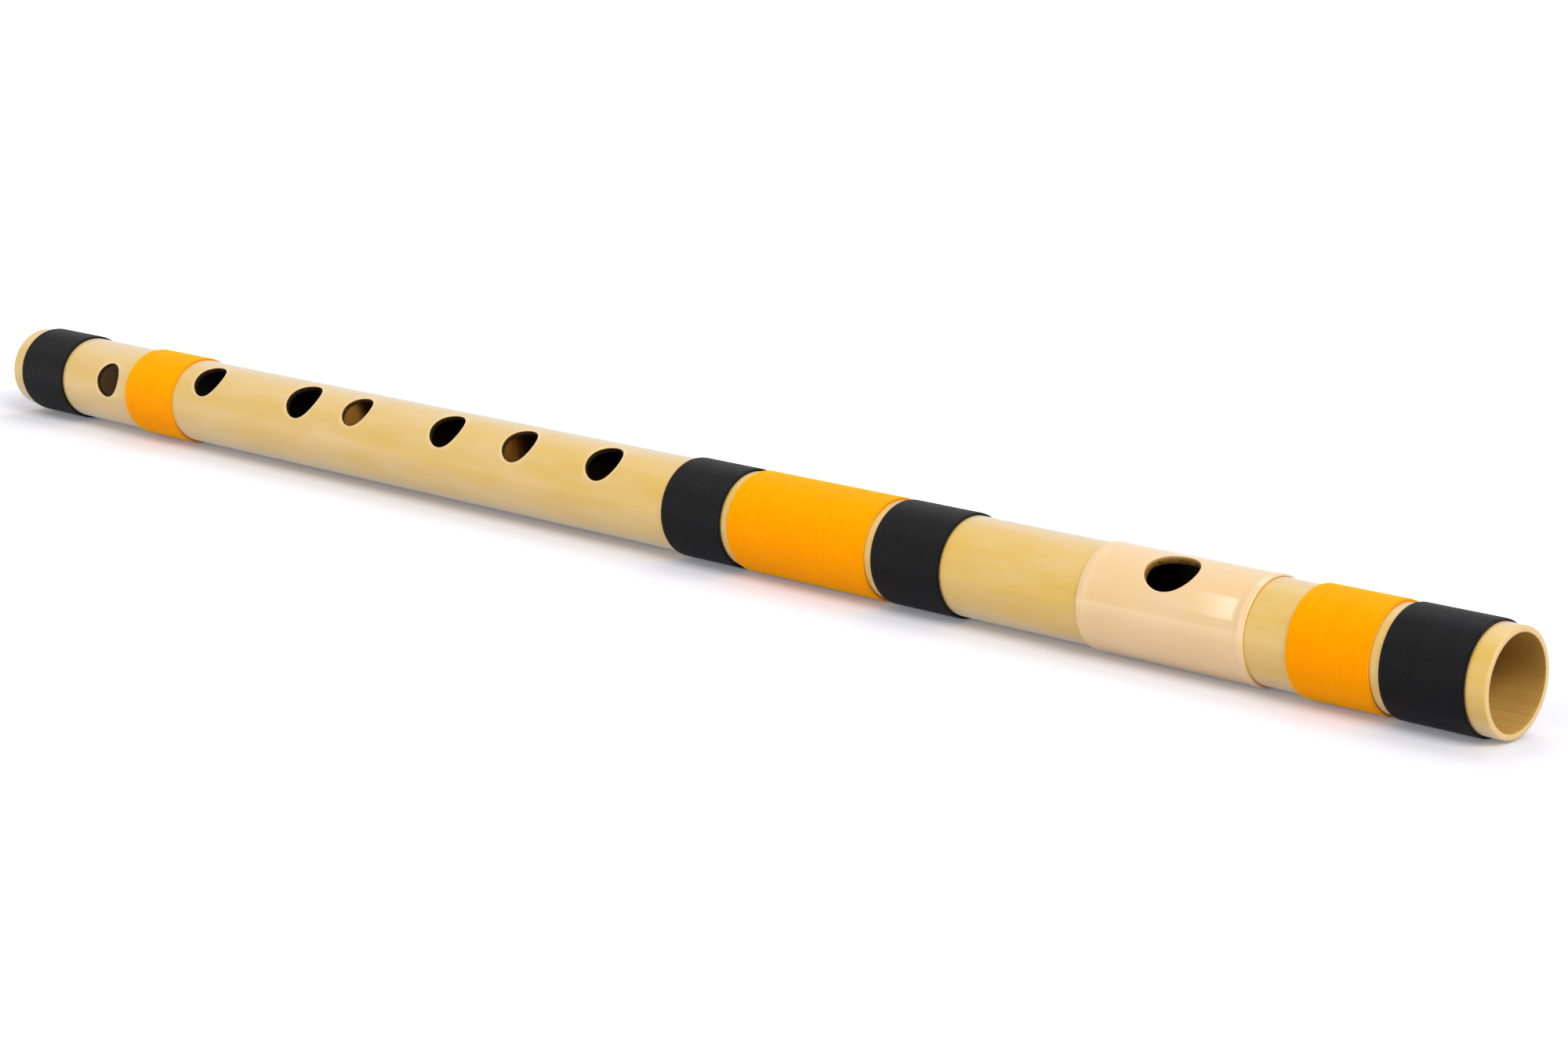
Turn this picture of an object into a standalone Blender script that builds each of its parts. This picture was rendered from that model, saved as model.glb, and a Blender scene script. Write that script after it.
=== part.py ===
"""A bansuri: a side-blown bamboo flute with thread bindings, a lip band and a tuning cork.

Metres, +Z up. The flute lies along X on the plane z = 0, with its head at +X and its foot at -X. It lies as a flute
comes to rest on a table, with its holes turned from straight up towards -Y. The origin is on that plane, below the
middle of the tube.

Each piece is drawn in the tube's own frame first: x runs along the tube from its middle to the head rim, and the
tube's axis is y = z = 0. One empty then lifts the whole flute on to the plane.
"""

from math import cos, pi, radians, sin

import bmesh
import bpy
from mathutils import Matrix

MM = 0.001

# Bamboo tube: the bore narrows a little towards the foot, under an even wall
HEAD_BORE_DIAMETER = 19.9 * MM
FOOT_BORE_DIAMETER = 19.0 * MM
TUBE_WALL = 1.35 * MM
RIM_OUTER_ROUNDING = 0.35 * MM
RIM_INNER_ROUNDING = 0.25 * MM

# Places of the holes along the tube, each counted from the one before it, starting at the head rim
HEAD_RIM_TO_MOUTH = 79.0 * MM
MOUTH_TO_FIRST_HOLE = 168.0 * MM
FIRST_TO_SECOND_HOLE = 29.8 * MM
SECOND_TO_THIRD_HOLE = 26.7 * MM
THIRD_TO_FOURTH_HOLE = 34.7 * MM
FOURTH_TO_FIFTH_HOLE = 21.6 * MM
FIFTH_TO_SIXTH_HOLE = 39.6 * MM
SIXTH_HOLE_TO_VENT = 41.3 * MM
VENT_TO_FOOT_RIM = 44.0 * MM

# Sizes of the holes
MOUTH_LENGTH = 12.6 * MM
MOUTH_WIDTH = 10.9 * MM
FIRST_HOLE_DIAMETER = 10.2 * MM
SECOND_HOLE_DIAMETER = 10.0 * MM
THIRD_HOLE_DIAMETER = 10.2 * MM
FOURTH_HOLE_DIAMETER = 9.2 * MM
FIFTH_HOLE_DIAMETER = 10.8 * MM
SIXTH_HOLE_DIAMETER = 10.0 * MM
VENT_DIAMETER = 9.2 * MM

# How far each hole is turned round the tube, from straight up towards -Y
MOUTH_TURN = radians(30)
FINGER_ROW_TURN = radians(40)
VENT_TURN = radians(72)

# Thread bindings: widths along the tube, bare strips between them, and the layer of thread
HEAD_BARE_END = 4.3 * MM
HEAD_BLACK_WIDTH = 20.0 * MM
HEAD_ORANGE_WIDTH = 20.2 * MM
UPPER_BLACK_WIDTH = 20.4 * MM
MIDDLE_ORANGE_WIDTH = 42.6 * MM
LOWER_BLACK_WIDTH = 19.6 * MM
FOOT_ORANGE_WIDTH = 20.9 * MM
FOOT_BLACK_WIDTH = 19.6 * MM
FOOT_BARE_END = 4.6 * MM
HEAD_STRIP = 1.9 * MM
MIDDLE_STRIP = 1.75 * MM
FOOT_ORANGE_TOWARDS_VENT = 1.2 * MM
MIDDLE_GROUP_TO_FIRST_HOLE = 23.7 * MM
THREAD_LAYER = 0.35 * MM
BINDING_SHOULDER = 0.28 * MM

# Lip band: a moulded sleeve round the mouth hole, a little off its middle, with a low rolled bead at each end
LIP_BAND_WIDTH = 42.9 * MM
LIP_BAND_TOWARDS_HEAD = 1.0 * MM
LIP_BAND_WALL = 0.3 * MM
LIP_BAND_SHOULDER = 0.2 * MM
LIP_BEAD_WIDTH = 2.4 * MM
LIP_BEAD_RISE = 0.12 * MM

# Cork stopper: its face stands one bore width from the middle of the mouth hole
CORK_LENGTH = 18.0 * MM
CORK_CHAMFER = 1.0 * MM

# Clearances between pieces
SLEEVE_GAP = 0.3 * MM
CORK_GAP = 0.3 * MM

# Fineness of the round shapes, and how far a hole's cutter reaches past the tube
TUBE_SIDES = 48
HOLE_SIDES = 32
ROUNDING_STEPS = 3
BEAD_STEPS = 6
CUTTER_REACH = 4.0 * MM

# The largest share of a wall that the rounding of one of its corners may take
RIM_ROUNDING_LIMIT = 0.45
SHOULDER_LIMIT = 0.8

# Colours, roughness
BAMBOO = ("bamboo", (0.77, 0.51, 0.17), 0.42)
BLACK_THREAD = ("black_thread", (0.015, 0.015, 0.018), 0.8)
ORANGE_THREAD = ("orange_thread", (1.0, 0.36, 0.003), 0.7)
CREAM_PLASTIC = ("cream_plastic", (0.87, 0.63, 0.32), 0.2)
CORK = ("cork", (0.48, 0.29, 0.13), 0.85)

# Distances from the head rim that follow from the sizes above
FIRST_HOLE_AT = HEAD_RIM_TO_MOUTH + MOUTH_TO_FIRST_HOLE
SECOND_HOLE_AT = FIRST_HOLE_AT + FIRST_TO_SECOND_HOLE
THIRD_HOLE_AT = SECOND_HOLE_AT + SECOND_TO_THIRD_HOLE
FOURTH_HOLE_AT = THIRD_HOLE_AT + THIRD_TO_FOURTH_HOLE
FIFTH_HOLE_AT = FOURTH_HOLE_AT + FOURTH_TO_FIFTH_HOLE
SIXTH_HOLE_AT = FIFTH_HOLE_AT + FIFTH_TO_SIXTH_HOLE
VENT_AT = SIXTH_HOLE_AT + SIXTH_HOLE_TO_VENT
TUBE_LENGTH = VENT_AT + VENT_TO_FOOT_RIM


def from_head(distance):
    """The x of a place that lies this far from the head rim."""
    return TUBE_LENGTH / 2 - distance


def bore_radius(distance):
    """Radius of the bore at a distance from the head rim."""
    share = distance / TUBE_LENGTH
    return (HEAD_BORE_DIAMETER * (1 - share) + FOOT_BORE_DIAMETER * share) / 2


def tube_radius(distance):
    """Outer radius of the bamboo at a distance from the head rim."""
    return bore_radius(distance) + TUBE_WALL


def material(finish):
    """The material of a finish, made the first time that it is asked for."""
    name, colour, roughness = finish
    made = bpy.data.materials.get(name)
    if made is None:
        made = bpy.data.materials.new(name)
        made.use_nodes = True
        made.diffuse_color = (*colour, 1.0)
        shader = made.node_tree.nodes["Principled BSDF"]
        shader.inputs["Base Color"].default_value = (*colour, 1.0)
        shader.inputs["Roughness"].default_value = roughness
        shader.inputs["Metallic"].default_value = 0.0
    return made


def add_object(name, mesh_builder, finish, x=0.0):
    """An object in the tube's frame, with its origin on the tube's axis at x."""
    mesh = bpy.data.meshes.new(name)
    bmesh.ops.recalc_face_normals(mesh_builder, faces=mesh_builder.faces[:])
    mesh_builder.to_mesh(mesh)
    mesh_builder.free()
    if finish:
        mesh.materials.append(material(finish))
        mesh.shade_smooth()
        mesh.set_sharp_from_angle(angle=radians(35))
    made = bpy.data.objects.new(name, mesh)
    made.location = (x, 0, 0)
    made.parent = flute_axis
    bpy.context.scene.collection.objects.link(made)
    return made


def corner(centre_x, centre_r, radius, start, end):
    """Points of a rounded corner of a profile, from one angle to the other."""
    points = []
    for step in range(ROUNDING_STEPS + 1):
        angle = start + (end - start) * step / ROUNDING_STEPS
        points.append((centre_x + radius * cos(angle), centre_r + radius * sin(angle)))
    return points


def turned(profile):
    """A ring turned about the tube's axis from a closed profile of (x, radius) points.

    The first copy of the profile is half a facet off straight down, so a flat facet faces the table.
    """
    ring = bmesh.new()
    vertices = [ring.verts.new((x, 0, -radius)) for x, radius in profile]
    edges = [ring.edges.new((a, b)) for a, b in zip(vertices, vertices[1:] + vertices[:1])]
    bmesh.ops.rotate(ring, cent=(0, 0, 0), matrix=Matrix.Rotation(pi / TUBE_SIDES, 3, "X"), verts=vertices)
    bmesh.ops.spin(
        ring,
        geom=vertices + edges,
        cent=(0, 0, 0),
        axis=(1, 0, 0),
        angle=2 * pi,
        steps=TUBE_SIDES,
        use_merge=True,
    )
    return ring


def tube_profile():
    """The tube's wall, with both rims rounded outside and inside."""
    outer = min(RIM_OUTER_ROUNDING, TUBE_WALL * RIM_ROUNDING_LIMIT)
    inner = min(RIM_INNER_ROUNDING, TUBE_WALL * RIM_ROUNDING_LIMIT)
    head, foot = from_head(0), from_head(TUBE_LENGTH)
    head_out, head_in = tube_radius(0), bore_radius(0)
    foot_out, foot_in = tube_radius(TUBE_LENGTH), bore_radius(TUBE_LENGTH)
    points = corner(head - outer, head_out - outer, outer, pi / 2, 0)
    points += corner(head - inner, head_in + inner, inner, 0, -pi / 2)
    points += corner(foot + inner, foot_in + inner, inner, -pi / 2, -pi)
    points += corner(foot + outer, foot_out - outer, outer, pi, pi / 2)
    return points


def sleeve_profile(start, width, wall, shoulder):
    """A sleeve that follows the tube's taper, with rounded outer shoulders."""
    end = start + width
    head, foot = from_head(start), from_head(end)
    head_in = tube_radius(start) + SLEEVE_GAP
    foot_in = tube_radius(end) + SLEEVE_GAP
    rounding = min(shoulder, wall * SHOULDER_LIMIT)
    points = [(foot, foot_in), (head, head_in)]
    points += corner(head - rounding, head_in + wall - rounding, rounding, 0, pi / 2)
    points += corner(foot + rounding, foot_in + wall - rounding, rounding, pi / 2, pi)
    return points


def bead(start):
    """Points of a rolled bead on the lip band, from its head side to its foot side."""
    points = []
    for step in range(1, BEAD_STEPS):
        share = step / BEAD_STEPS
        distance = start + LIP_BEAD_WIDTH * share
        rise = LIP_BEAD_RISE * sin(pi * share) ** 2
        points.append((from_head(distance), tube_radius(distance) + SLEEVE_GAP + LIP_BAND_WALL + rise))
    return points


def lip_band_profile(start):
    """The lip band's sleeve, with its two beads let in between the rounded shoulders."""
    points = sleeve_profile(start, LIP_BAND_WIDTH, LIP_BAND_WALL, LIP_BAND_SHOULDER)
    foot_shoulder = len(points) - (ROUNDING_STEPS + 1)
    head_bead = bead(start + LIP_BAND_SHOULDER)
    foot_bead = bead(start + LIP_BAND_WIDTH - LIP_BAND_SHOULDER - LIP_BEAD_WIDTH)
    return points[:foot_shoulder] + head_bead + foot_bead + points[foot_shoulder:]


def hole_cutter(name, distance, turn, length, width):
    """A rod with an oval or round section that burns one hole through the near wall of the tube."""
    rod = bmesh.new()
    reach = tube_radius(distance) + CUTTER_REACH
    bmesh.ops.create_cone(rod, cap_ends=True, segments=HOLE_SIDES, radius1=0.5, radius2=0.5, depth=1.0)
    bmesh.ops.translate(rod, vec=(0, 0, 0.5), verts=rod.verts)
    bmesh.ops.scale(rod, vec=(length, width, reach), verts=rod.verts)
    bmesh.ops.rotate(rod, cent=(0, 0, 0), matrix=Matrix.Rotation(turn, 3, "X"), verts=rod.verts)
    cutter = add_object(name, rod, None, from_head(distance))
    cutter.hide_render = True
    cutter.display_type = "WIRE"
    return cutter


def cut(target, cutter):
    """Cut a hole through a piece."""
    boolean = target.modifiers.new(cutter.name, "BOOLEAN")
    boolean.operation = "DIFFERENCE"
    boolean.solver = "EXACT"
    boolean.object = cutter


def binding(name, start, width, finish):
    """One thread binding: the wound layer as a smooth sleeve with the soft shoulders of its last turns."""
    return add_object(name, turned(sleeve_profile(start, width, THREAD_LAYER, BINDING_SHOULDER)), finish)


for leftover in list(bpy.data.objects):
    bpy.data.objects.remove(leftover)

# The frame that lifts the flute on to the plane: its thickest ring touches z = 0 with a flat facet
lip_band_at = HEAD_RIM_TO_MOUTH - LIP_BAND_WIDTH / 2 - LIP_BAND_TOWARDS_HEAD
binding_radius = tube_radius(HEAD_BARE_END + BINDING_SHOULDER) + SLEEVE_GAP + THREAD_LAYER
bead_radius = max(radius for x, radius in lip_band_profile(lip_band_at))
thickest_radius = max(binding_radius, bead_radius)
flute_axis = bpy.data.objects.new("flute_axis", None)
flute_axis.location = (0, 0, thickest_radius * cos(pi / TUBE_SIDES))
bpy.context.scene.collection.objects.link(flute_axis)

# Bamboo tube, with the mouth hole, six finger holes and the vent burned through one wall
bamboo_tube = add_object("bamboo_tube", turned(tube_profile()), BAMBOO)
mouth_cutter = hole_cutter("mouth_cutter", HEAD_RIM_TO_MOUTH, MOUTH_TURN, MOUTH_LENGTH, MOUTH_WIDTH)
cut(bamboo_tube, mouth_cutter)

finger_holes = [
    (FIRST_HOLE_AT, FIRST_HOLE_DIAMETER),
    (SECOND_HOLE_AT, SECOND_HOLE_DIAMETER),
    (THIRD_HOLE_AT, THIRD_HOLE_DIAMETER),
    (FOURTH_HOLE_AT, FOURTH_HOLE_DIAMETER),
    (FIFTH_HOLE_AT, FIFTH_HOLE_DIAMETER),
    (SIXTH_HOLE_AT, SIXTH_HOLE_DIAMETER),
]
for number, (distance, diameter) in enumerate(finger_holes, start=1):
    cut(bamboo_tube, hole_cutter(f"finger_cutter_{number}", distance, FINGER_ROW_TURN, diameter, diameter))
cut(bamboo_tube, hole_cutter("vent_cutter", VENT_AT, VENT_TURN, VENT_DIAMETER, VENT_DIAMETER))

# Lip band, cut by the same mouth hole
lip_band = add_object("lip_band", turned(lip_band_profile(lip_band_at)), CREAM_PLASTIC)
cut(lip_band, mouth_cutter)

# Head bindings, counted from the head rim
head_orange_at = HEAD_BARE_END + HEAD_BLACK_WIDTH + HEAD_STRIP
binding("head_black_binding", HEAD_BARE_END, HEAD_BLACK_WIDTH, BLACK_THREAD)
binding("head_orange_binding", head_orange_at, HEAD_ORANGE_WIDTH, ORANGE_THREAD)

# Middle bindings, counted back from the first finger hole
lower_black_at = FIRST_HOLE_AT - MIDDLE_GROUP_TO_FIRST_HOLE - LOWER_BLACK_WIDTH
middle_orange_at = lower_black_at - MIDDLE_STRIP - MIDDLE_ORANGE_WIDTH
upper_black_at = middle_orange_at - MIDDLE_STRIP - UPPER_BLACK_WIDTH
binding("upper_black_binding", upper_black_at, UPPER_BLACK_WIDTH, BLACK_THREAD)
binding("middle_orange_binding", middle_orange_at, MIDDLE_ORANGE_WIDTH, ORANGE_THREAD)
binding("lower_black_binding", lower_black_at, LOWER_BLACK_WIDTH, BLACK_THREAD)

# Foot bindings: one between the sixth hole and the vent, nearer the vent, and one counted from the foot rim
foot_orange_at = (SIXTH_HOLE_AT + VENT_AT - FOOT_ORANGE_WIDTH) / 2 + FOOT_ORANGE_TOWARDS_VENT
foot_black_at = TUBE_LENGTH - FOOT_BARE_END - FOOT_BLACK_WIDTH
binding("foot_orange_binding", foot_orange_at, FOOT_ORANGE_WIDTH, ORANGE_THREAD)
binding("foot_black_binding", foot_black_at, FOOT_BLACK_WIDTH, BLACK_THREAD)

# Cork stopper: a plug with chamfered ends that slides along the bore
cork_face_at = HEAD_RIM_TO_MOUTH - HEAD_BORE_DIAMETER
cork_middle_at = cork_face_at - CORK_LENGTH / 2
plug = bmesh.new()
bmesh.ops.create_cone(
    plug,
    cap_ends=True,
    segments=TUBE_SIDES,
    radius1=bore_radius(cork_face_at) - CORK_GAP,
    radius2=bore_radius(cork_face_at) - CORK_GAP,
    depth=CORK_LENGTH,
)
end_edges = [edge for edge in plug.edges if abs(edge.verts[0].co.z - edge.verts[1].co.z) < CORK_GAP]
bmesh.ops.bevel(plug, geom=end_edges, offset=CORK_CHAMFER, affect="EDGES", segments=1, profile=0.5, material=-1)
bmesh.ops.rotate(plug, cent=(0, 0, 0), matrix=Matrix.Rotation(pi / TUBE_SIDES, 3, "Z"), verts=plug.verts)
bmesh.ops.rotate(plug, cent=(0, 0, 0), matrix=Matrix.Rotation(pi / 2, 3, "Y"), verts=plug.verts)
add_object("cork_stopper", plug, CORK, from_head(cork_middle_at))
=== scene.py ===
"""The finished look of a bansuri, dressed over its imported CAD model.

Metres, +Z up. Each piece is drawn round the tube's own axis, with x from the middle of the tube to its head
rim, and is then lifted to where the CAD tube lies. A hole's turn is its angle round the tube, from straight
up towards -Y.
"""

from collections import namedtuple
from math import asin, atan2, ceil, cos, pi, radians, sin

import bmesh
import bpy
from mathutils import Matrix, Vector, noise


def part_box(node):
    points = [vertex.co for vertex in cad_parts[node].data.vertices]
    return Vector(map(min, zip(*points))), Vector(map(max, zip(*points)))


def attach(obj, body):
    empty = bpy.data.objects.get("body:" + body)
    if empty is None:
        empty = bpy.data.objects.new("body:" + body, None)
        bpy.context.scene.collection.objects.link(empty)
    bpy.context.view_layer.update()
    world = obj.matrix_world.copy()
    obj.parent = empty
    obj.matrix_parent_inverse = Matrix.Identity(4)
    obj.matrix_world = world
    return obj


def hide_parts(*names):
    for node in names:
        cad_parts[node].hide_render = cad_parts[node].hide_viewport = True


MM = 0.001

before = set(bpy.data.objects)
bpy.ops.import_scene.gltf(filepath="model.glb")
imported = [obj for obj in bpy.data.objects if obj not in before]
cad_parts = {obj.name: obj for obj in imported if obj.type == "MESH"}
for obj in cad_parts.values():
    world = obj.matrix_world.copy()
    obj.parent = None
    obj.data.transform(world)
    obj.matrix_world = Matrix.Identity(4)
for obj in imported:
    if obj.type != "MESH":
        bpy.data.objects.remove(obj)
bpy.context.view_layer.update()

# Bamboo tube. One length of culm from between two joints, sawn to length, scraped and oiled, with a bore that
# narrows a little to the foot. Its finger holes and vent are burned through with a hot rod, which scorches
# their walls, and its mouth hole is cut and filed. Every other piece is fixed on it or in it.
tube_low, tube_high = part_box("bamboo_tube")
AXIS = (tube_low + tube_high) / 2
TUBE_LENGTH = tube_high.x - tube_low.x
HEAD_BORE_DIAMETER = 19.9 * MM
FOOT_BORE_DIAMETER = 19.0 * MM
TUBE_WALL = 1.35 * MM
RIM_OUTER_ROUNDING = 0.35 * MM
RIM_INNER_ROUNDING = 0.25 * MM
RIM_STEPS = 5

# Where each hole lies from the head rim, its turn, its size, the rounding of its outer rim and its scorching,
# which also decides whether its outer rim gets a pale painted highlight
Hole = namedtuple("Hole", "distance turn length width rim scorch")
MOUTH_TURN = radians(30)
FINGER_ROW_TURN = radians(40)
VENT_TURN = radians(72)
CUT_RIM = 0.05 * MM
BURNED_RIM = 0.22 * MM
# The mouth hole is cut, not burned, yet its wall and inner edge are browned like the burned holes', darker
# towards the bore
MOUTH = Hole(79.0 * MM, MOUTH_TURN, 12.6 * MM, 10.9 * MM, CUT_RIM, 0.45)
FINGER_HOLES = [
    Hole(247.0 * MM, FINGER_ROW_TURN, 10.2 * MM, 10.2 * MM, BURNED_RIM, 1.0),
    Hole(276.8 * MM, FINGER_ROW_TURN, 10.0 * MM, 10.0 * MM, BURNED_RIM, 0.75),
    Hole(303.5 * MM, FINGER_ROW_TURN, 10.2 * MM, 10.2 * MM, BURNED_RIM, 1.0),
    Hole(338.2 * MM, FINGER_ROW_TURN, 9.2 * MM, 9.2 * MM, BURNED_RIM, 0.7),
    Hole(359.8 * MM, FINGER_ROW_TURN, 10.8 * MM, 10.8 * MM, BURNED_RIM, 1.0),
    Hole(399.4 * MM, FINGER_ROW_TURN, 10.0 * MM, 10.0 * MM, BURNED_RIM, 1.0),
]
VENT = Hole(440.7 * MM, VENT_TURN, 9.2 * MM, 9.2 * MM, BURNED_RIM, 0.85)
HOLES = [MOUTH, *FINGER_HOLES, VENT]

# Rings of faces round a hole: their share of the way from the window's edge to the hole, and how scorched
# each is, or below 0 how much pale painted highlight it gets. An outer rim gets this painted highlight where
# its hole is burned past RIM_HIGHLIGHT_FROM.
RIM_HIGHLIGHT_FROM = 0.5
SKIN_RINGS = ((0.35, 0), (0.6, 0), (0.8, -0.4), (0.92, -1))
OUTER_RIM_CHAR_AND_HIGHLIGHT = (-1, -2 / 3, -1 / 3, 0.2, 0.4, 0.6)
WALL_CHAR = 0.85
BORE_RINGS = ((0.95, 0.9), (0.82, 0.6), (0.45, 0.2), (0, 0))

# The tube is turned in columns of faces. A hole is opened in a window of them, which keeps a margin round it.
COLUMNS = 144
HALF_WINDOW_COLUMNS = 15
WINDOW_ROWS = 16
WINDOW_MARGIN = 1.7 * MM
ROW_SPACING = 9.0 * MM
FIRST_ROW = 0.7 * MM
JOIN_DISTANCE = 0.001 * MM


def from_head(distance):
    """The x of a place that lies this far from the head rim."""
    return TUBE_LENGTH / 2 - distance


def bore_radius(x):
    """Radius of the bore."""
    share = 0.5 - x / TUBE_LENGTH
    return (HEAD_BORE_DIAMETER * (1 - share) + FOOT_BORE_DIAMETER * share) / 2


def tube_radius(x):
    """Outer radius of the bamboo."""
    return bore_radius(x) + TUBE_WALL


def corner(x, radius, rounding, start, end):
    """Points of a rounded corner of a profile about its centre, from one angle to the other."""
    angles = [start + (end - start) * step / RIM_STEPS for step in range(RIM_STEPS + 1)]
    return [(x + rounding * cos(angle), radius + rounding * sin(angle)) for angle in angles]


def rows(start, end, holes):
    """Places along a piece for its rings of faces: evenly spaced, and close together at each hole."""
    places = []
    reached = start
    for hole in sorted(holes, reverse=True):
        middle = from_head(hole.distance)
        half = hole.length / 2 + WINDOW_MARGIN
        bare = max(1, ceil((middle - half - reached) / ROW_SPACING))
        places += [reached + (middle - half - reached) * step / bare for step in range(bare)]
        places += [middle - half + 2 * half * step / WINDOW_ROWS for step in range(WINDOW_ROWS)]
        reached = middle + half
    bare = max(1, ceil((end - reached) / ROW_SPACING))
    return places + [reached + (end - reached) * step / bare for step in range(bare + 1)]


def turned(profile, closed=True):
    """A shape turned about the tube's axis from a profile of (x, radius) points, a ring if it is closed."""
    shape = bmesh.new()
    points = [shape.verts.new((x, 0, radius)) for x, radius in profile]
    next_points = points[1:] + points[:1] if closed else points[1:]
    edges = [shape.edges.new(pair) for pair in zip(points, next_points)]
    bmesh.ops.spin(
        shape,
        geom=points + edges,
        cent=(0, 0, 0),
        axis=(1, 0, 0),
        angle=2 * pi,
        steps=COLUMNS,
        use_merge=True,
    )
    return shape


def turn_of(place):
    """How far a place is turned round the tube."""
    return atan2(-place.y, place.z)


def on_skin(x, turn, radius):
    """The place at this x and turn, this far from the axis."""
    return Vector((x, -radius * sin(turn), radius * cos(turn)))


def open_hole(piece, hole, outside, inside):
    """Open a hole through both skins of a turned piece, with the rod's straight wall and rounded rims."""
    middle = from_head(hole.distance)
    half_window = hole.length / 2 + WINDOW_MARGIN
    column = 2 * pi / COLUMNS
    window_turn = round(hole.turn / column) * column
    window = []
    for face in piece.faces:
        centre = face.calc_center_median()
        beside = abs(turn_of(centre) - window_turn) < HALF_WINDOW_COLUMNS * column
        if beside and abs(centre.x - middle) < half_window:
            window.append(face)
    bmesh.ops.delete(piece, geom=window, context="FACES")

    # Each vertex of the window's edge remembers its x and turn, and in which direction from the hole it lies
    window_place = piece.verts.layers.float_vector["window"]
    half_wall = (outside(middle) + inside(middle)) / 2
    ring = [edge for edge in piece.edges if edge.is_boundary and edge.verts[0].co.yz.length > half_wall]
    for vertex in {vertex for edge in ring for vertex in edge.verts}:
        across = vertex.co.yz.length * sin(turn_of(vertex.co) - hole.turn)
        direction = atan2(across / hole.width, (vertex.co.x - middle) / hole.length)
        vertex[window_place] = (vertex.co.x, turn_of(vertex.co), direction)

    # Rings from the window's edge over the rim, down the wall and out to the window in the inner skin: which
    # skin each follows, its share of the way to the hole, how far outside the rod, its lift and its
    # scorching, or below 0 its pale painted highlight
    # The outer rim of a burned hole gets a pale painted highlight
    rim_highlight = 1 if hole.scorch > RIM_HIGHLIGHT_FROM else 0
    rings = [(outside, share, hole.rim, 0, rim_highlight * char_and_highlight) for share, char_and_highlight in SKIN_RINGS]
    for step, char_and_highlight in enumerate(OUTER_RIM_CHAR_AND_HIGHLIGHT):
        angle = pi / 2 * step / RIM_STEPS
        char_and_highlight *= rim_highlight if char_and_highlight < 0 else hole.scorch
        rings.append((outside, 1, hole.rim * (1 - sin(angle)), hole.rim * (cos(angle) - 1), char_and_highlight))
    rings.append((outside, 1, 0, (inside(middle) - outside(middle)) / 2, hole.scorch * WALL_CHAR))
    for step in range(RIM_STEPS + 1):
        angle = pi / 2 * step / RIM_STEPS
        rings.append((inside, 1, CUT_RIM * (1 - cos(angle)), CUT_RIM * (1 - sin(angle)), hole.scorch))
    rings += [(inside, share, CUT_RIM, 0, hole.scorch * char_and_highlight) for share, char_and_highlight in BORE_RINGS]

    char_and_highlight_layer = piece.verts.layers.float["scorch"]
    facing = Vector((0, -sin(hole.turn), cos(hole.turn)))
    for radius, share, outside_rod, lift, char_and_highlight in rings:
        grown = bmesh.ops.extrude_edge_only(piece, edges=ring)["geom"]
        ring = [part for part in grown if isinstance(part, bmesh.types.BMEdge)]
        for vertex in [part for part in grown if isinstance(part, bmesh.types.BMVert)]:
            window_x, window_turn, direction = vertex[window_place]
            hole_x = middle + (hole.length / 2 + outside_rod) * cos(direction)
            hole_turn = hole.turn + asin((hole.width / 2 + outside_rod) * sin(direction) / radius(hole_x))
            x = window_x + (hole_x - window_x) * share
            vertex_turn = window_turn + (hole_turn - window_turn) * share
            vertex.co = on_skin(x, vertex_turn, radius(x)) + facing * lift
            vertex[char_and_highlight_layer] = char_and_highlight
    seam = [vertex for vertex in piece.verts if vertex.is_boundary]
    bmesh.ops.remove_doubles(piece, verts=seam, dist=JOIN_DISTANCE)


def finished(name, piece, finishes, body, node):
    """Make the piece an object where the CAD tube lies, riding on its body in place of its CAD node."""
    bmesh.ops.recalc_face_normals(piece, faces=piece.faces[:])
    bmesh.ops.translate(piece, vec=AXIS, verts=piece.verts)
    mesh = bpy.data.meshes.new(name)
    piece.to_mesh(mesh)
    piece.free()
    mesh.shade_smooth()
    for finish in finishes:
        mesh.materials.append(finish)
    made = bpy.data.objects.new(name, mesh)
    bpy.context.scene.collection.objects.link(made)
    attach(made, body)
    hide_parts(node)


# The first and last rows lie close to the rims, so that the long faces beside them are shaded straight
head, foot = from_head(0), from_head(TUBE_LENGTH)
outer, inner = RIM_OUTER_ROUNDING, RIM_INNER_ROUNDING
tube_rows = rows(foot + FIRST_ROW, head - FIRST_ROW, HOLES)
tube_profile = [(x, tube_radius(x)) for x in tube_rows]
tube_profile += corner(head - outer, tube_radius(head) - outer, outer, pi / 2, 0)
tube_profile += corner(head - inner, bore_radius(head) + inner, inner, 0, -pi / 2)
tube_profile += [(x, bore_radius(x)) for x in reversed(tube_rows)]
tube_profile += corner(foot + inner, bore_radius(foot) + inner, inner, -pi / 2, -pi)
tube_profile += corner(foot + outer, tube_radius(foot) - outer, outer, pi, pi / 2)
tube = turned(tube_profile)
tube.verts.layers.float_vector.new("window")
tube.verts.layers.float.new("scorch")
for hole in HOLES:
    open_hole(tube, hole, tube_radius, bore_radius)

# The skin is the tube's first finish, the cut wood of its ends and hole walls the second, the bore the third
SKIN_DEPTH = 0.12
BORE_DEPTH = 0.93
for face in tube.faces:
    centre = face.calc_center_median()
    depth = (tube_radius(centre.x) - centre.yz.length) / TUBE_WALL
    face.material_index = 0 if depth < SKIN_DEPTH else 1 if depth < BORE_DEPTH else 2


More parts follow.
